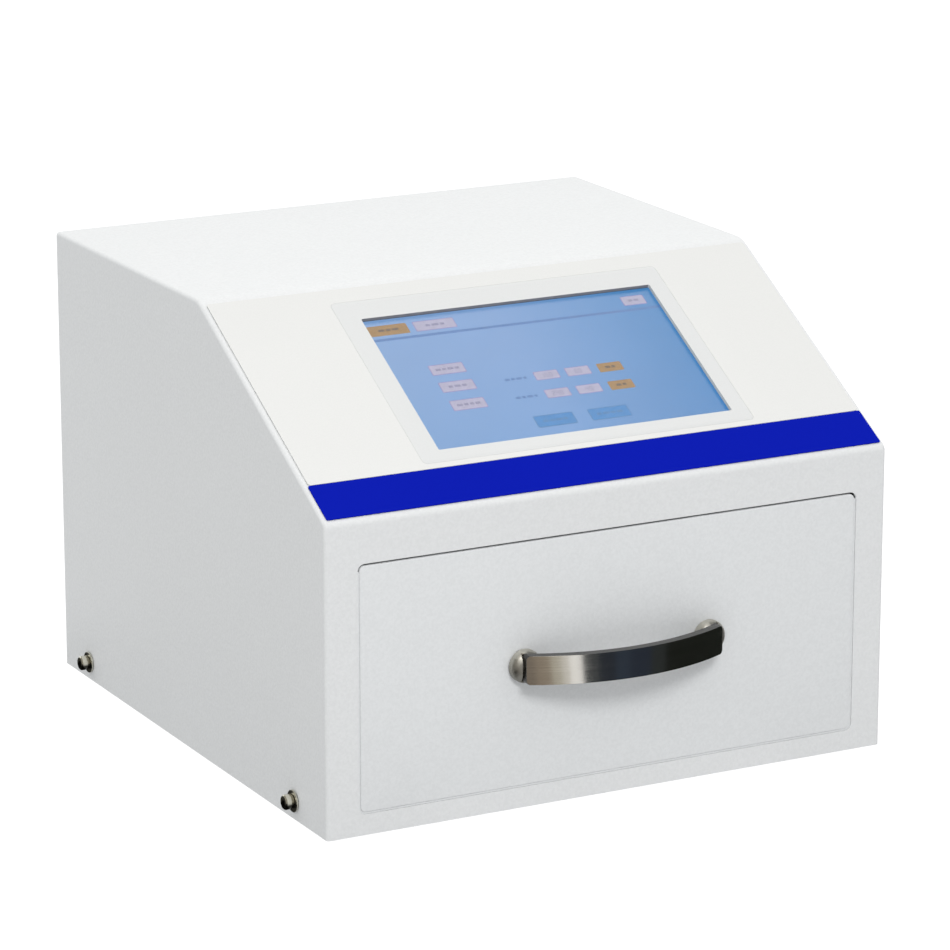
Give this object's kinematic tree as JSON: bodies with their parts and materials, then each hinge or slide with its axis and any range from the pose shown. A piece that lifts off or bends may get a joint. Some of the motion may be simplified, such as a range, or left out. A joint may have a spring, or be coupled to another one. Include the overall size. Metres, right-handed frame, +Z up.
{
  "type": "reflow oven",
  "caption": "Bench-top reflow oven: sheet-metal cabinet with a sloped touch-display panel and a sliding board drawer with a bow handle",
  "frame": {"origin": "on the ground under the middle of the bounding box", "axes": "+Z up, the drawer and the panel face -Y, +X to the right seen from the front"},
  "size_m": [0.3008, 0.3216, 0.226],
  "materials": {
    "powder_coat": "white powder coat, fine orange peel",
    "overlay": "warm white satin film",
    "stripe_blue": "deep blue satin film",
    "bezel_white": "satin white plastic",
    "touch_glass": "clear, slightly anti-glare",
    "lcd": "lit display",
    "circuit_board": "green solder mask",
    "brushed_nickel": "fine brushed nickel",
    "zinc_screw": "bright zinc plate",
    "galvanised": "galvanised sheet",
    "stainless": "rolled stainless sheet",
    "rubber": "matt black",
    "black_plastic": "fine moulded grain",
    "rocker_red": "smooth red",
    "insulation": "white ceramic fibre",
    "gasket": "woven glass fibre",
    "quartz": "milky quartz",
    "ceramic": "unglazed",
    "relay_case": "moulded"
  },
  "bodies": {
    "chassis": {"accent_stripe": "stripe_blue", "base_pan": "powder_coat", "control_board": "circuit_board", "display_bezel": "bezel_white", "display_board": "circuit_board", "electronics_deck": "galvanised", "fan_frame": "black_plastic", "fan_guard": "zinc_screw", "foot_front_left": "rubber", "foot_front_right": "rubber", "foot_rear_left": "rubber", "foot_rear_right": "rubber", "front_bulkhead": "galvanised", "heater_hood": "stainless", "hood_blanket": "insulation", "inlet_module": "black_plastic", "lcd_panel": "lcd", "outer_cover": "powder_coat", "panel_overlay": "overlay", "power_supply": "galvanised", "quartz_tube_1": "quartz", "quartz_tube_2": "quartz", "quartz_tube_3": "quartz", "quartz_tube_4": "quartz", "rear_panel": "powder_coat", "side_frame_left": "galvanised", "side_frame_right": "galvanised", "side_screw_front_left": "zinc_screw", "side_screw_front_right": "zinc_screw", "side_screw_rear_left": "zinc_screw", "side_screw_rear_right": "zinc_screw", "side_washer_front_left": "zinc_screw", "side_washer_front_right": "zinc_screw", "side_washer_rear_left": "zinc_screw", "side_washer_rear_right": "zinc_screw", "slide_outer_left": "galvanised", "slide_outer_right": "galvanised", "solid_state_relay": "relay_case", "thermocouple": "stainless", "touch_glass": "touch_glass", "tube_holder_left": "ceramic", "tube_holder_right": "ceramic"},
    "drawer": {"drawer_front": "powder_coat", "drawer_insulation": "insulation", "drawer_box": "stainless", "board_rack": "stainless", "drawer_gasket": "gasket", "handle_bow": "brushed_nickel", "handle_post_left": "brushed_nickel", "handle_post_right": "brushed_nickel", "handle_screw_left": "zinc_screw", "handle_screw_right": "zinc_screw", "slide_inner_left": "galvanised", "slide_inner_right": "galvanised"},
    "slide_middle_left": {"slide_middle_left": "galvanised"},
    "slide_middle_right": {"slide_middle_right": "galvanised"},
    "fan_rotor": {"fan_rotor": "black_plastic"},
    "fuse_drawer": {"fuse_drawer": "black_plastic"},
    "rocker_switch": {"rocker_switch": "rocker_red"}
  },
  "joints": [
    {"name": "drawer_slide", "type": "slide", "parent": "chassis", "child": "drawer", "axis": [0, -1, 0], "range_m": [0, 0.2]},
    {"name": "slide_middle_left_travel", "type": "slide", "parent": "chassis", "child": "slide_middle_left", "axis": [0, -1, 0], "range_m": [0, 0.1]},
    {"name": "slide_middle_right_travel", "type": "slide", "parent": "chassis", "child": "slide_middle_right", "axis": [0, -1, 0], "range_m": [0, 0.1]},
    {"name": "fan_spin", "type": "hinge", "parent": "chassis", "child": "fan_rotor", "pos_m": [0, 0.1442, 0.072], "axis": [0, 1, 0], "continuous": true},
    {"name": "fuse_drawer_pull", "type": "slide", "parent": "chassis", "child": "fuse_drawer", "axis": [0, 1, 0], "range_m": [0, 0.012]},
    {"name": "rocker_tilt", "type": "hinge", "parent": "chassis", "child": "rocker_switch", "pos_m": [-0.095, 0.15355, 0.0849], "axis": [-1, 0, 0], "range_deg": [0, 24]}
  ],
  "couplings": [
    {"joint": "slide_middle_left_travel", "follows": "drawer_slide", "ratio": 0.5},
    {"joint": "slide_middle_right_travel", "follows": "drawer_slide", "ratio": 0.5}
  ]
}
